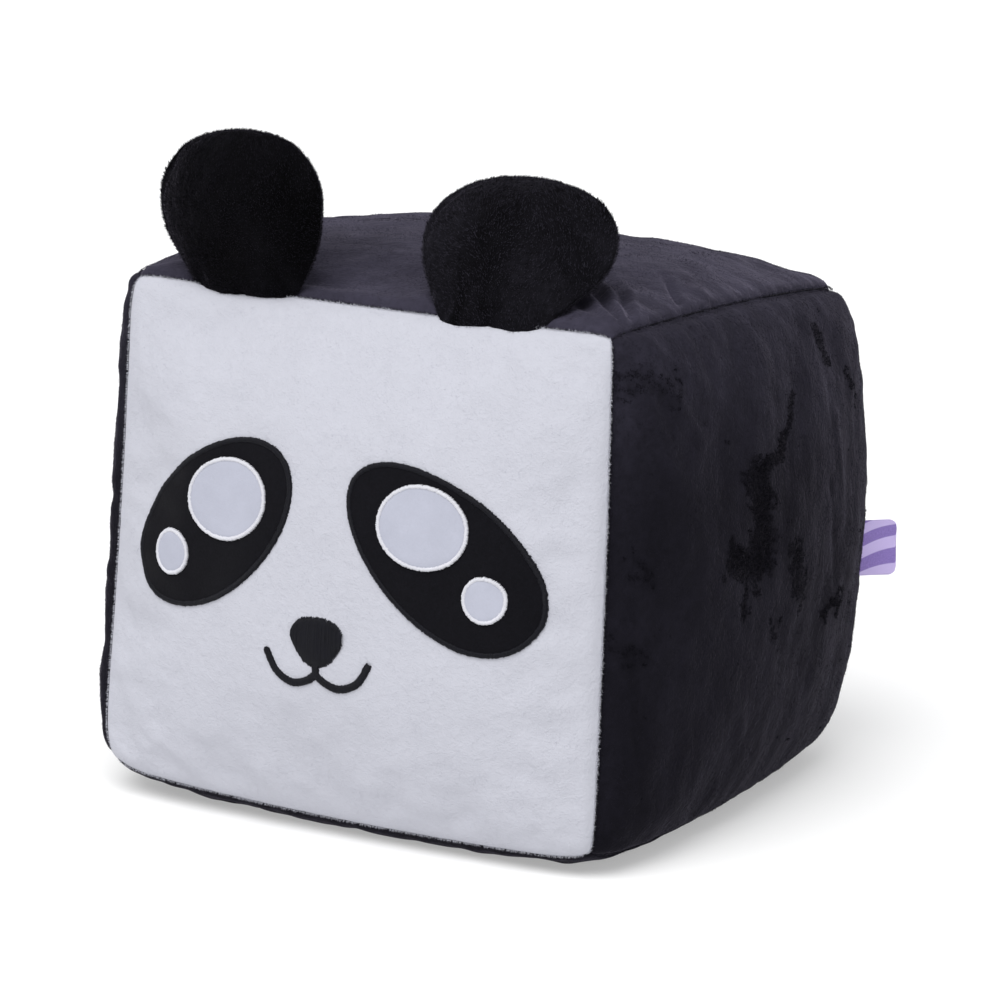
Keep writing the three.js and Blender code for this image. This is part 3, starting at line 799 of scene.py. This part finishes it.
def oval(shape, share, angle, inset, mirror, middle):
    along = share * (shape["long"] - inset) * np.cos(angle)
    across = share * (shape["short"] - inset) * np.sin(angle) * (1 + shape["egg"] * np.cos(angle))
    tilt = math.radians(shape["tilt"])
    x = along * math.cos(tilt) - across * math.sin(tilt)
    z = along * math.sin(tilt) + across * math.cos(tilt)
    return middle[0] + mirror * x, middle[1] + z


def even_angles(shape, pitch):
    """Angles round an oval, spaced evenly along its edge."""
    fine = np.linspace(0, 2 * math.pi, 1441)
    x, z = oval(shape, 1, fine, 0, 1, (0, 0))
    run = np.concatenate([[0], np.cumsum(np.hypot(np.diff(x), np.diff(z)))])
    count = int(run[-1] / pitch)
    return np.interp(np.arange(count) * run[-1] / count, run, fine)


def felt_piece(name, node, shape, mirror, base, material, steps):
    _, _, share, angle = disc_grid(np.linspace(-1, 1, steps))
    across, up = oval(shape, share, angle, 1.0, mirror, middle_of(node))
    lift = base + FELT * (1 - 0.5 * share**10)
    points, _ = on_face(across, up, lift)
    faces = grid_quads(steps, steps)
    piece = new_object(name, points, faces if mirror > 0 else faces[:, ::-1], [material])
    return thicken(piece, FELT * MM)


def satin_border(name, node, shape, mirror, base, material, seed):
    draw = np.random.default_rng(seed)
    angle = even_angles(shape, STITCH_PITCH)
    count = len(angle)
    across = np.linspace(0, 1, 7)
    outer = draw.normal(scale=0.13, size=count)
    inner = draw.normal(scale=0.13, size=count)
    inset = outer[:, None] * (1 - across) + (shape["band"] + inner[:, None]) * across
    slant = 0.35 / shape["long"]
    turned = angle[:, None] + slant * (across - 0.5)
    x, z = oval(shape, 1, turned, inset, mirror, middle_of(node))
    lift = base - 0.2 + STITCH_HEIGHT * np.sqrt(1 - (2 * across - 1) ** 2) * np.ones((count, 1))
    lift += draw.normal(scale=0.05, size=(count, 1))
    points, ups = on_face(x, z, lift)
    return threads(name, points, ups, THREAD_RADIUS, material)


ON_CLOTH, ON_FELT = 0.1, 1.1
PATCH_STEPS, HIGHLIGHT_STEPS = 61, 33
for side, mirror in (("left", -1), ("right", 1)):
    for index, (kind, shape) in enumerate(EYE_SHAPES[side].items()):
        node = f"{side}_eye_{kind}"
        if kind == "patch":
            tone, cloth, sewn, base, steps = "black", BLACK_FELT, BLACK_THREAD, ON_CLOTH, PATCH_STEPS
        else:
            tone, cloth, sewn, base, steps = "white", WHITE_FELT, WHITE_THREAD, ON_FELT, HIGHLIGHT_STEPS
        piece = felt_piece(f"{node}_felt", node, shape, mirror, base, cloth, steps)
        finish(piece, node)
        piece = satin_border(f"{node}_satin", node, shape, mirror, base, sewn, 100 + 10 * index + mirror)
        finish(piece, f"{node}_border")


def satin_bars(name, node, first, last, seed, height=1.1, base=0.05, steps=9):
    """Satin stitches from first to last, arrays of x, z in millimetres, arched over the cloth."""
    draw = np.random.default_rng(seed)
    count = len(first)
    u = np.linspace(0, 1, steps)[None, :, None]
    line = first[:, None] * (1 - u) + last[:, None] * u
    arch = np.minimum(1, 1.15 * np.sqrt(1 - (2 * u[..., 0] - 1) ** 2))
    lift = base - 0.25 + height * arch * np.ones((count, 1)) + draw.normal(scale=0.05, size=(count, 1))
    points, ups = on_face(line[..., 0], line[..., 1], lift)
    piece = threads(name, points, ups, THREAD_RADIUS, BLACK_THREAD)
    finish(piece, node)


def half_sizes(node):
    low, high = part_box(node)
    return (high.x - low.x) / 2 / MM, (high.z - low.z) / 2 / MM


def nose():
    """A rounded triangle filled with upright stitches."""
    draw = np.random.default_rng(31)
    across, up = middle_of("nose_embroidery")
    wide, high = half_sizes("nose_embroidery")
    angle = np.linspace(0, 2 * math.pi, 361)
    radius = 1 + 0.07 * np.sin(3 * angle)
    x, z = radius * np.cos(angle), radius * np.sin(angle)
    x, z = x / x.max() * wide, z / z.max() * high
    upper = z >= np.interp(x, [x.min(), x.max()], [z[np.argmin(x)], z[np.argmax(x)]])
    order = np.argsort(x[upper])
    top_x, top_z = x[upper][order], z[upper][order]
    order = np.argsort(x[~upper])
    low_x, low_z = x[~upper][order], z[~upper][order]
    columns = np.arange(-wide + 0.3, wide - 0.3, STITCH_PITCH)
    count = len(columns)
    first = np.stack([columns, np.interp(columns, top_x, top_z) + draw.normal(scale=0.25, size=count)], 1)
    last = np.stack([columns, np.interp(columns, low_x, low_z) + draw.normal(scale=0.2, size=count)], 1)
    shift = np.array([across, up])
    satin_bars("nose_satin", "nose_embroidery", first + shift, last + shift, 32, height=1.5, steps=13)


def stitched_line(name, node, route, width, seed):
    """Satin stitches across a route, an array of x, z points in millimetres, with round ends."""
    draw = np.random.default_rng(seed)
    run = run_along(route)
    place = np.arange(0, run[-1], STITCH_PITCH)
    middle = points_at(place, run, route)
    along = unit_vectors(np.gradient(middle, axis=0))
    across = np.stack([-along[:, 1], along[:, 0]], 1)
    half = width(place / run[-1]) / 2
    ends = np.minimum(place, run[-1] - place) / 1.4
    half = half * np.sqrt(np.clip(1 - (1 - np.minimum(ends, 1)) ** 2, 0.15, 1))
    uneven = draw.normal(scale=0.1, size=(2, len(place)))
    first = middle + across * (half + uneven[0])[:, None]
    last = middle - across * (half + uneven[1])[:, None] + along * 0.25
    satin_bars(name, node, first, last, seed + 1, height=1.1, steps=7)


def smooth_line(knots, count=200):
    """A smooth curve through knots (Catmull-Rom)."""
    knots = np.array(knots, float)
    padded = np.concatenate([[2 * knots[0] - knots[1]], knots, [2 * knots[-1] - knots[-2]]])
    pieces = []
    for i in range(len(knots) - 1):
        a, b, c, d = padded[i:i + 4]
        u = np.linspace(0, 1, count // (len(knots) - 1), endpoint=False)[:, None]
        curve = 2 * b + (c - a) * u + (2 * a - 5 * b + 4 * c - d) * u**2
        pieces.append(0.5 * (curve + (3 * b - a - 3 * c + d) * u**3))
    return np.concatenate([*pieces, knots[-1:]])


LINE_WIDTH = 3.6
PHILTRUM_TOP, PHILTRUM_LOW = -36, -44.5
PHILTRUM_FLARE = 3  # how much wider the philtrum is at its top
MOUTH_HALF = [(0, -43.4), (4.5, -46.6), (12.3, -48.6), (21.2, -44.6), (27.3, -34.8)]

nose()
midline, _ = middle_of("mouth_embroidery")
philtrum = np.array([(midline, PHILTRUM_TOP), (midline, PHILTRUM_LOW)])
stitched_line("philtrum_satin", "philtrum_embroidery", philtrum,
              lambda share: LINE_WIDTH + PHILTRUM_FLARE * np.exp(-share * 7), 41)
mouth_right = smooth_line(MOUTH_HALF)
mouth = np.concatenate([mouth_right[::-1] * [-1, 1], mouth_right[1:]]) + [midline, 0]
stitched_line("mouth_satin", "mouth_embroidery", mouth, lambda share: LINE_WIDTH + 0 * share, 51)

# ---- the ears ----

EAR = dict(height=73, base=43, width=92, thickness=36, foot_taper=1.1, top_taper=2.2)
EAR_POSES = {"left": dict(yaw=-6, back=0, side=-5), "right": dict(yaw=6, back=36, side=1)}
EAR_SINK = 5.0  # how deep the foot goes into the seam
EAR_GRID = 37


def bezier(a, b, c, d, count=24):
    u = np.linspace(0, 1, count, endpoint=False)[:, None]
    a, b, c, d = (np.array(p, float) for p in (a, b, c, d))
    return (1 - u) ** 3 * a + 3 * (1 - u) ** 2 * u * b + 3 * (1 - u) * u**2 * c + u**3 * d


def ear_outline():
    """Distance from the ear's middle to its edge, by angle."""
    foot, side, high = EAR["base"] / 2, EAR["width"] / 2, EAR["height"]
    right = np.concatenate([
        bezier((foot, 0), (foot + 10, 7), (side + 1, 24), (side, 42)),
        bezier((side, 42), (side - 1, 63), (24, high), (0, high)),
    ])
    floor = np.stack([np.linspace(0, foot, 24, endpoint=False), np.zeros(24)], 1)
    half = np.concatenate([floor, right])
    edge = np.concatenate([half, half[:0:-1] * [-1, 1]]) - [0, high / 2]
    angle = np.unwrap(np.arctan2(edge[:, 1], edge[:, 0]))
    return angle, np.hypot(*edge.T)


OUTLINE_ANGLE, OUTLINE_RADIUS = ear_outline()


def edge_radius(angle):
    return np.interp(angle, OUTLINE_ANGLE, OUTLINE_RADIUS, period=2 * math.pi)


def turn(points, axis, degrees):
    return points @ np.array(Matrix.Rotation(math.radians(degrees), 3, axis)).T


def pose_ear(points, side):
    """Turns and leans the ear's points, in metres, over its foot."""
    pose = EAR_POSES[side]
    rise = smooth_step(0, EAR["height"] / 2 * MM, points[:, 2])
    roll, yaw = np.radians(pose["side"] * rise), np.radians(pose["yaw"] * rise)
    x, y, z = points.T
    x, z = x * np.cos(roll) + z * np.sin(roll), z * np.cos(roll) - x * np.sin(roll)
    x, y = x * np.cos(yaw) - y * np.sin(yaw), x * np.sin(yaw) + y * np.cos(yaw)
    posed = turn(np.stack([x, y, z], 1), "X", -pose["back"])
    return posed + np.array(JOINTS[f"{side}_ear_fold"])


def ear_shell():
    """The ear as two grids that share their edge: points, faces, how far out each is, and the grid."""
    even = np.linspace(-1, 1, EAR_GRID)
    x, z, share, angle = disc_grid(np.sin(even * math.pi / 2) * 0.35 + even * 0.65)
    reach = edge_radius(angle)
    flat = np.stack([x * reach, 0 * x, z * reach + EAR["height"] / 2], 1)
    high = np.clip((EAR["height"] / 2 + reach * np.sin(angle)) / EAR["height"], 0, 1)
    taper = EAR["foot_taper"] + (EAR["top_taper"] - EAR["foot_taper"]) * high
    swell = EAR["thickness"] / 2 * np.clip(1 - share**taper, 0, 1) ** 0.75
    front, back = flat.copy(), flat.copy()
    front[:, 1], back[:, 1] = -swell, swell
    edge = share > 1 - 1e-6
    both = np.concatenate([front, back]) * MM
    first = grid_quads(EAR_GRID, EAR_GRID)
    index = np.arange(len(both))
    index[len(flat):][edge] = np.flatnonzero(edge)
    second = index[first[:, ::-1] + len(flat)]
    return both, np.concatenate([first, second]), edge, index


def make_ear(side):
    points, faces, edge, index = ear_shell()
    count = EAR_GRID**2
    used, packed = np.unique(index, return_inverse=True)
    pinned = np.concatenate([edge, edge])[used]
    shape = points[used]
    shape = inflate(f"{side}_ear_skin", shape, packed[faces], pinned, pressure=6, frames=20,
                    cap=3 * MM, slack=0.02, stiffness=6)
    wobble = shape / MM + (0 if side == "left" else 500)
    shape = shape + np.stack([0 * shape[:, 0], 0.6 * waves(wobble, 40, 5), 0 * shape[:, 0]], 1) * MM
    shape[:, 2] -= EAR_SINK * MM * (1 - smooth_step(0, 15 * MM, shape[:, 2]))
    posed = pose_ear(shape, side)
    ear = f"{side}_ear"
    grid = grid_quads(EAR_GRID, EAR_GRID)
    made = []
    for name, picks, flipped in (("front", packed[:count], False), ("back", packed[count:], True)):
        outward_faces = grid[:, ::-1] if flipped else grid
        piece = new_object(f"{ear}_{name}_plush", posed[picks], outward_faces, [EAR_PLUSHES[side]])
        subdivide(piece, 2)
        outside = piece.data.copy()
        thicken(piece, CLOTH)
        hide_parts(f"{ear}_{name}_panel")
        made.append(piece)
        fur = pile(f"{ear}_{name}_pile", outside, 2.0, 1.5 * MM, 0.3 * MM, 0.9,
                   (0.2, 0, 1), EAR_FIBRES[side], 200 + len(made) + (10 if side == "left" else 20))
        made.append(fur)
    heart = shape.mean(0)
    within = pose_ear(heart + (shape - heart) * [0.86, 0.8, 0.86], side)
    inner = new_object(f"{ear}_fill", within, packed[faces], [FIBREFILL])
    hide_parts(f"{ear}_stuffing")
    made.append(inner)
    for piece in made:
        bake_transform(piece)


for side in EAR_POSES:
    make_ear(side)

# ---- the body's pile ----

NAPS = {"face": (0.1, 0, -1), "back": (0.2, 0, -1), "left": (0, 0.4, -1), "right": (0, -0.3, -1),
        "top": (0.3, -1, 0)}
for index, (side, nap) in enumerate(NAPS.items()):
    white = side == "face"
    tones = {"face": WHITE_FIBRES, "top": TOP_FIBRES}.get(side, BLACK_FIBRES)
    fur = pile(f"{side}_pile", surfaces[side], 0.6 if white else 0.9, (0.7 if white else 0.9) * MM,
               0.24 * MM, 1.3, nap, tones, 300 + 10 * index)
    finish(fur)


def brushed_part(side):
    """The stretches of a panel whose nap was brushed the other way."""
    mesh = surfaces[side]
    marks = np.empty(len(mesh.vertices), np.float32)
    mesh.attributes["brushed"].data.foreach_get("value", marks)
    corners = np.empty(len(mesh.loops), np.int32)
    mesh.loops.foreach_get("vertex_index", corners)
    faces = corners.reshape(-1, 4)
    points = coordinates(mesh)
    ragged = marks[faces].mean(1) + 0.2 * waves(points[faces].mean(1) / MM, 5, 75)
    kept = faces[ragged > 0.36]
    used, packed = np.unique(kept, return_inverse=True)
    part = new_object(f"{side}_brushed_part", points[used], packed.reshape(-1, 4))
    shape = part.data
    bpy.data.objects.remove(part)
    return shape


def seam_rows(side):
    """Points along each seam of a panel, and along the grid line next to it."""
    grid = skin[joined[side]].reshape(GRID + 1, GRID + 1, 3)
    return {"left": (grid[0], grid[1]), "right": (grid[-1], grid[-2]),
            "low": (grid[:, 0], grid[:, 1]), "high": (grid[:, -1], grid[:, -2])}


FRINGE_LENGTH = 1.0 * MM


def fringe(side, per_mm, width, materials, seed):
    """Tufts that stand out over a panel's seams."""
    draw = np.random.default_rng(seed)
    across, up, outward = SIDES[side]
    roots, ways = [], []
    for (line, inner), aside in zip(seam_rows(side).values(), (-across, across, -up, up)):
        run = run_along(line)
        count = int(per_mm * run[-1] / MM)
        place = np.sort(draw.uniform(0, run[-1], count))
        edge, within = points_at(place, run, line), points_at(place, run, inner)
        share = draw.uniform(0.01, 0.25, count)[:, None]
        roots.append(edge * (1 - share) + within * share)
        ways.append(0.36 * unit_vectors(edge - within) + 0.8 * aside + 0.75 * outward
                    + draw.normal(scale=0.3, size=(count, 3)))
    roots, ways = np.concatenate(roots), np.concatenate(ways)
    lengths = FRINGE_LENGTH * draw.uniform(0.5, 1.3, len(roots))
    widths = width * draw.uniform(0.7, 1.3, len(roots))
    finish(spikes(f"{side}_edge_pile", roots, ways, lengths, widths, materials, draw))


brushed_fur = pile("right_brushed_pile", brushed_part("right"), 2.6, 1.1 * MM, 0.34 * MM, 0.5, (0, 0.3, 1),
                   BRUSHED_FIBRES, 620)
finish(brushed_fur)
fringe("face", 5, 0.26 * MM, WHITE_FIBRES, 501)
for index, side in enumerate(("top", "right", "left", "back", "bottom")):
    fringe(side, 4, 0.2 * MM, TOP_FIBRES if side == "top" else BLACK_FIBRES, 510 + index)


# ---- the seams' stitches ----

def seam_stitches(seam, side, edges, radius=0.28, pitch=3.2, length=2.4):
    """A run of small stitches along the bottom of a seam."""
    paths = []
    for line in (seam_rows(side)[edge][0] for edge in edges):
        run = run_along(line)
        starts = np.arange(1.5 * MM, run[-1] - (length + 1) * MM, pitch * MM)
        u = np.linspace(0, length * MM, 5)
        paths.append(points_at(starts[:, None] + u, run, line))
    paths = np.concatenate(paths)
    outward = unit_vectors(paths - [0, 0, MIDDLE_Z])
    dip = np.sin(np.linspace(0, math.pi, 5))[None, :, None]
    depth = VALLEY_DEPTH * (FACE_VALLEY if side == "face" else 1)
    paths = paths + outward * (0.4 * dip - depth) * MM
    piece = threads(f"{seam}_stitches", paths, outward, radius * MM, BLACK_THREAD)
    finish(piece, f"{seam}_thread")


for side in ("face", "back"):
    seam_stitches(f"{side}_seam", side, ("left", "right", "low", "high"))
for side in ("top", "bottom"):
    for hand in ("left", "right"):
        seam_stitches(f"{side}_{hand}_seam", side, (hand,))

# ---- the woven label ----

def ribbon():
    look = Look("purple_ribbon", Roughness=0.5, Specular_IOR_Level=0.4, Sheen_Weight=0.25,
                Sheen_Roughness=0.35)
    stripes = look.node("ShaderNodeTexWave", wave_type="BANDS", bands_direction="X", wave_profile="SIN")
    stripes.inputs["Scale"].default_value = 62
    stripes.inputs["Distortion"].default_value = 0
    look.link(look.where(turn=(0, 38, 45)), stripes.inputs["Vector"])
    ground = look.ramp(look.noise(0.0007, 2), (0.3, (0.215, 0.145, 0.440)), (0.7, (0.280, 0.195, 0.540)))
    figure = look.ramp(stripes.outputs["Fac"], (0.5, (0, 0, 0)), (0.6, (1, 1, 1)))
    mixed = look.node("ShaderNodeMix", data_type="RGBA", blend_type="MIX")
    look.link(figure, mixed.inputs[0])
    look.link(ground, mixed.inputs[6])
    mixed.inputs[7].default_value = (0.58, 0.48, 0.82, 1)
    look.colour(mixed.outputs[2])
    weft = look.node("ShaderNodeTexWave", wave_type="BANDS", bands_direction="Z")
    weft.inputs["Scale"].default_value = 600
    look.link(look.where(), weft.inputs["Vector"])
    look.bump(look.add(weft.outputs["Fac"], figure, 0.6), 0.00015, 0.7)
    return look.material


# In millimetres: how far the label stands out, half the gap between its halves, its thickness, and
# the radii of its fold and of its rounded corners.
LABEL_REACH, LABEL_FOLD, LABEL_CLOTH = 26.5, 0.45, 0.35
LABEL_TURN, LABEL_CORNER = 1.2, 4.5
LABEL_STEPS, LABEL_ROWS = 81, 41


def round_end(distance, radius):
    """1 along the label, falling to 0 over a quarter circle of this radius at its outer end."""
    over = np.clip(distance - (LABEL_REACH - radius), 0, radius) / radius
    return np.sqrt(np.clip(1 - over**2, 0, 1))


def woven_label():
    low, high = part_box("woven_label")
    tall = (high.z - low.z) / MM
    middle_z = (high.z + low.z) / 2
    anchor = JOINTS["label_flap"].copy()
    anchor.z = middle_z
    outward = np.array([1, 1, 0]) / math.sqrt(2)
    aside = np.array([-1, 1, 0]) / math.sqrt(2)
    run = np.linspace(-1, 1, LABEL_STEPS)
    u = LABEL_REACH * (1 - np.abs(run))
    lift = np.sign(run) * LABEL_FOLD * round_end(u, LABEL_TURN)
    rows, columns = np.meshgrid(u, np.linspace(-0.5, 0.5, LABEL_ROWS), indexing="ij")
    side = np.broadcast_to(lift[:, None], rows.shape)
    drawn_in = LABEL_CORNER * (1 - round_end(rows, LABEL_CORNER))
    height = columns * (tall - 2 * drawn_in)
    wave = 1.1 * np.sin(rows / LABEL_REACH * 2.6) + 0.8 * np.sin(height / tall * 4 + 0.7) * rows / LABEL_REACH
    points = (np.array(anchor) + rows[..., None] * outward * MM + (side + wave)[..., None] * aside * MM
              + height[..., None] * np.array([0, 0, 1]) * MM)
    faces = grid_quads(LABEL_STEPS, LABEL_ROWS)
    piece = new_object("woven_label_ribbon", points.reshape(-1, 3), faces, [ribbon()])
    thicken(piece, LABEL_CLOTH * MM)
    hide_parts("woven_label")
    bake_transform(piece)


woven_label()

# ---- floor, light and camera ----

def floor():
    look = Look("floor", Roughness=0.9, Specular_IOR_Level=0.1)
    look.colour(look.ramp(look.noise(0.4, 2), (0.3, 0.65), (0.7, 0.66)))
    look.shader.inputs["Emission Color"].default_value = (1, 1, 1, 1)
    look.shader.inputs["Emission Strength"].default_value = 0.36
    plane = new_object("floor", np.array([(-30, -30, 0), (30, -30, 0), (30, 30, 0), (-30, 30, 0)], float),
                       np.array([(0, 1, 2, 3)]), [look.material])
    plane.location.z = -0.0002


def sun(name, strength, softness, azimuth, elevation):
    lamp = bpy.data.lights.new(name, "SUN")
    lamp.energy, lamp.angle = strength, math.radians(softness)
    piece = bpy.data.objects.new(name, lamp)
    a, e = math.radians(azimuth), math.radians(elevation)
    source = Vector((math.sin(a) * math.cos(e), -math.cos(a) * math.cos(e), math.sin(e)))
    piece.rotation_mode = "QUATERNION"
    piece.rotation_quaternion = source.to_track_quat("Z", "Y")
    bpy.context.scene.collection.objects.link(piece)


def sky(strength):
    world = bpy.data.worlds.new("studio")
    world.use_nodes = True
    world.node_tree.nodes["Background"].inputs["Color"].default_value = (0.97, 0.98, 1, 1)
    world.node_tree.nodes["Background"].inputs["Strength"].default_value = strength
    bpy.context.scene.world = world


def camera():
    azimuth, elevation, roll = (math.radians(a) for a in (27.928, 11.685, 1.573))
    distance, across, raised, lens = 1.810, 0.0072, 0.0090, 134.96
    back = Vector((math.sin(azimuth) * math.cos(elevation), -math.cos(azimuth) * math.cos(elevation),
                   math.sin(elevation)))
    right = Vector((math.cos(azimuth), math.sin(azimuth), 0))
    up = back.cross(right)
    rolled_right = right * math.cos(roll) + up * math.sin(roll)
    rolled_up = up * math.cos(roll) - right * math.sin(roll)
    place = Vector((0, 0, MIDDLE_Z)) + rolled_right * across + rolled_up * raised + back * distance
    lens_data = bpy.data.cameras.new("camera")
    lens_data.lens, lens_data.sensor_width = lens, 36
    lens_data.clip_start, lens_data.clip_end = 0.05, 100
    piece = bpy.data.objects.new("camera", lens_data)
    facing = Matrix((rolled_right, rolled_up, back)).transposed()
    piece.matrix_world = Matrix.Translation(place) @ facing.to_4x4()
    bpy.context.scene.collection.objects.link(piece)
    bpy.context.scene.camera = piece


floor()
sky(0.62)
sun("top_light", 2.6, 45, 4, 56)
camera()
bpy.context.scene.view_settings.view_transform = "Standard"
